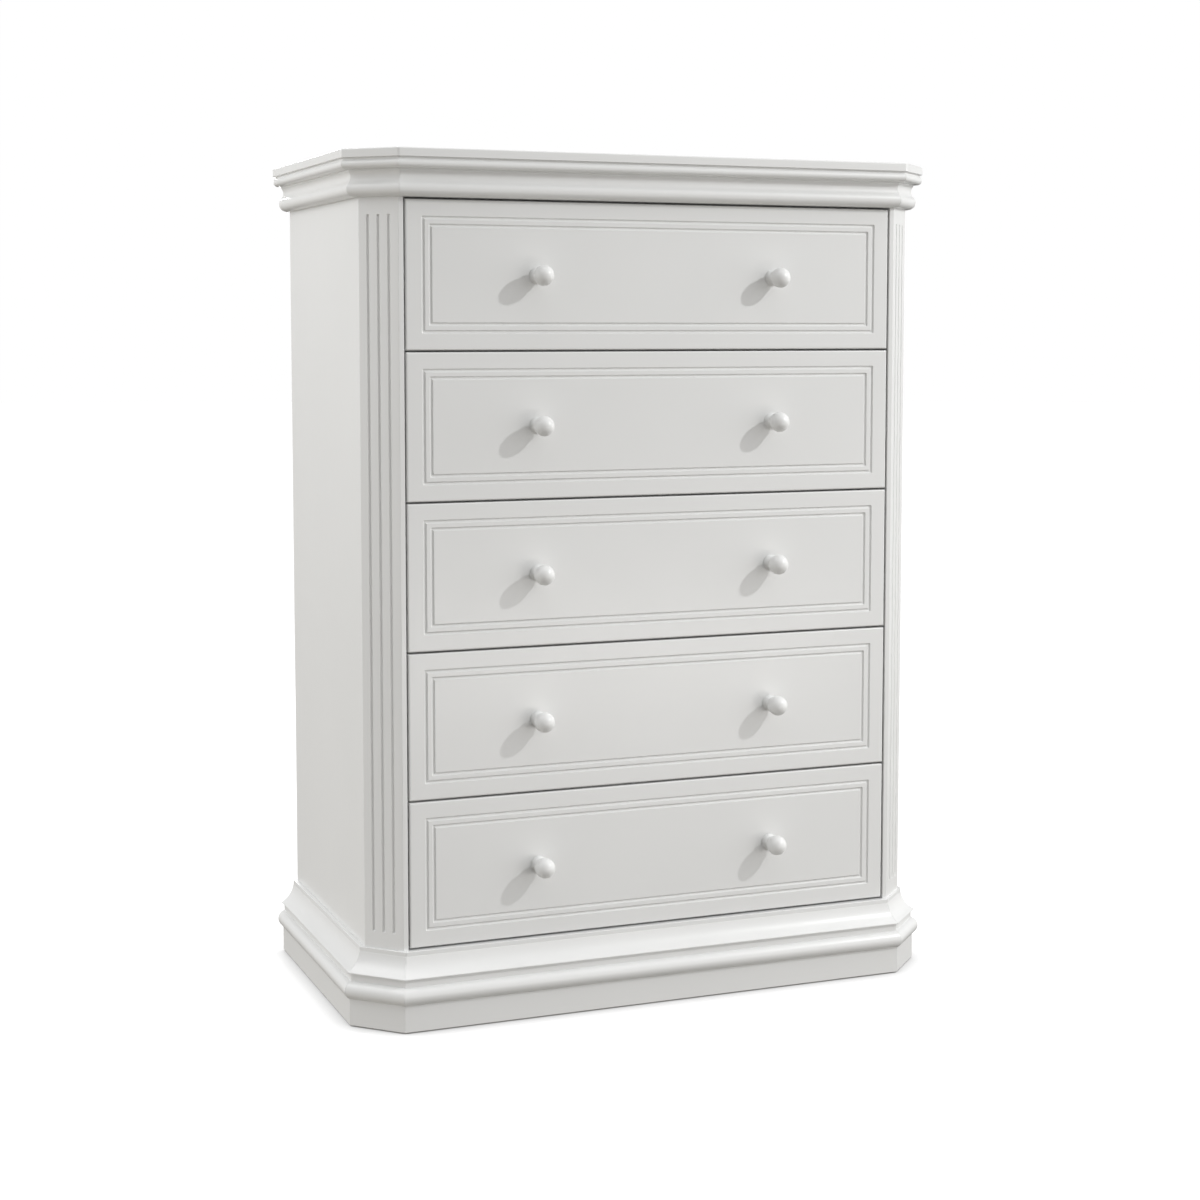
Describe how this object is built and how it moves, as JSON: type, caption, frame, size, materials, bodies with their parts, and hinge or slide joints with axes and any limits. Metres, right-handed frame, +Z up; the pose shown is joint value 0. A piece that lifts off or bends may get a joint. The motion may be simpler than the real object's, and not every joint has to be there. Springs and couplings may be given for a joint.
{
  "type": "tall chest of drawers",
  "caption": "Tall white chest of inset drawers with routed fronts and ball knobs, canted fluted corners, crown moulding and moulded plinth; the drawers slide out.",
  "frame": {"origin": "on the floor, under the middle of the whole chest, knobs included", "axes": "+X to the right as seen from the front, +Y to the back, +Z up"},
  "size_m": [1.0214, 0.536, 1.36],
  "materials": {
    "white_lacquer": "satin white sprayed lacquer over hardwood and board",
    "drawer_wood": "clear satin lacquer on solid birch drawer sides",
    "drawer_ply": "clear lacquered birch plywood",
    "frame_pine": "planed unfinished pine",
    "back_board": "white painted thin board",
    "zinc_steel": "bright zinc plated pressed steel",
    "glide_nylon": "moulded matt nylon"
  },
  "bodies": {
    "case": {"side_panel_left": "white_lacquer", "side_panel_right": "white_lacquer", "corner_post_left": "white_lacquer", "corner_post_right": "white_lacquer", "back_panel": "back_board", "bottom_panel": "frame_pine", "top_panel": "white_lacquer", "crown_front": "white_lacquer", "crown_left": "white_lacquer", "crown_right": "white_lacquer", "base_cap_front": "white_lacquer", "base_cap_left": "white_lacquer", "base_cap_right": "white_lacquer", "plinth_front": "white_lacquer", "plinth_left": "white_lacquer", "plinth_right": "white_lacquer", "frame_rails": "frame_pine", "runner_case_members": "zinc_steel", "tip_bracket": "zinc_steel", "floor_glides": "glide_nylon"},
    "drawer_1": {"drawer_1_front": "white_lacquer", "drawer_1_box_sides": "drawer_wood", "drawer_1_box_ends": "drawer_wood", "drawer_1_bottom": "drawer_ply", "drawer_1_knobs": "white_lacquer", "drawer_1_screws": "zinc_steel", "drawer_1_runner_members": "zinc_steel"},
    "middle_runners_1": {"drawer_1_middle_members": "zinc_steel"},
    "drawer_2": {"drawer_2_front": "white_lacquer", "drawer_2_box_sides": "drawer_wood", "drawer_2_box_ends": "drawer_wood", "drawer_2_bottom": "drawer_ply", "drawer_2_knobs": "white_lacquer", "drawer_2_screws": "zinc_steel", "drawer_2_runner_members": "zinc_steel"},
    "middle_runners_2": {"drawer_2_middle_members": "zinc_steel"},
    "drawer_3": {"drawer_3_front": "white_lacquer", "drawer_3_box_sides": "drawer_wood", "drawer_3_box_ends": "drawer_wood", "drawer_3_bottom": "drawer_ply", "drawer_3_knobs": "white_lacquer", "drawer_3_screws": "zinc_steel", "drawer_3_runner_members": "zinc_steel"},
    "middle_runners_3": {"drawer_3_middle_members": "zinc_steel"},
    "drawer_4": {"drawer_4_front": "white_lacquer", "drawer_4_box_sides": "drawer_wood", "drawer_4_box_ends": "drawer_wood", "drawer_4_bottom": "drawer_ply", "drawer_4_knobs": "white_lacquer", "drawer_4_screws": "zinc_steel", "drawer_4_runner_members": "zinc_steel"},
    "middle_runners_4": {"drawer_4_middle_members": "zinc_steel"},
    "drawer_5": {"drawer_5_front": "white_lacquer", "drawer_5_box_sides": "drawer_wood", "drawer_5_box_ends": "drawer_wood", "drawer_5_bottom": "drawer_ply", "drawer_5_knobs": "white_lacquer", "drawer_5_screws": "zinc_steel", "drawer_5_runner_members": "zinc_steel"},
    "middle_runners_5": {"drawer_5_middle_members": "zinc_steel"}
  },
  "joints": [
    {"name": "drawer_1_slide", "type": "slide", "parent": "case", "child": "drawer_1", "axis": [0, -1, 0], "range_m": [0, 0.4]},
    {"name": "middle_1_slide", "type": "slide", "parent": "case", "child": "middle_runners_1", "axis": [0, -1, 0], "range_m": [0, 0.2]},
    {"name": "drawer_2_slide", "type": "slide", "parent": "case", "child": "drawer_2", "axis": [0, -1, 0], "range_m": [0, 0.4]},
    {"name": "middle_2_slide", "type": "slide", "parent": "case", "child": "middle_runners_2", "axis": [0, -1, 0], "range_m": [0, 0.2]},
    {"name": "drawer_3_slide", "type": "slide", "parent": "case", "child": "drawer_3", "axis": [0, -1, 0], "range_m": [0, 0.4]},
    {"name": "middle_3_slide", "type": "slide", "parent": "case", "child": "middle_runners_3", "axis": [0, -1, 0], "range_m": [0, 0.2]},
    {"name": "drawer_4_slide", "type": "slide", "parent": "case", "child": "drawer_4", "axis": [0, -1, 0], "range_m": [0, 0.4]},
    {"name": "middle_4_slide", "type": "slide", "parent": "case", "child": "middle_runners_4", "axis": [0, -1, 0], "range_m": [0, 0.2]},
    {"name": "drawer_5_slide", "type": "slide", "parent": "case", "child": "drawer_5", "axis": [0, -1, 0], "range_m": [0, 0.4]},
    {"name": "middle_5_slide", "type": "slide", "parent": "case", "child": "middle_runners_5", "axis": [0, -1, 0], "range_m": [0, 0.2]}
  ],
  "couplings": [
    {"joint": "middle_1_slide", "follows": "drawer_1_slide", "ratio": 0.5},
    {"joint": "middle_2_slide", "follows": "drawer_2_slide", "ratio": 0.5},
    {"joint": "middle_3_slide", "follows": "drawer_3_slide", "ratio": 0.5},
    {"joint": "middle_4_slide", "follows": "drawer_4_slide", "ratio": 0.5},
    {"joint": "middle_5_slide", "follows": "drawer_5_slide", "ratio": 0.5}
  ]
}
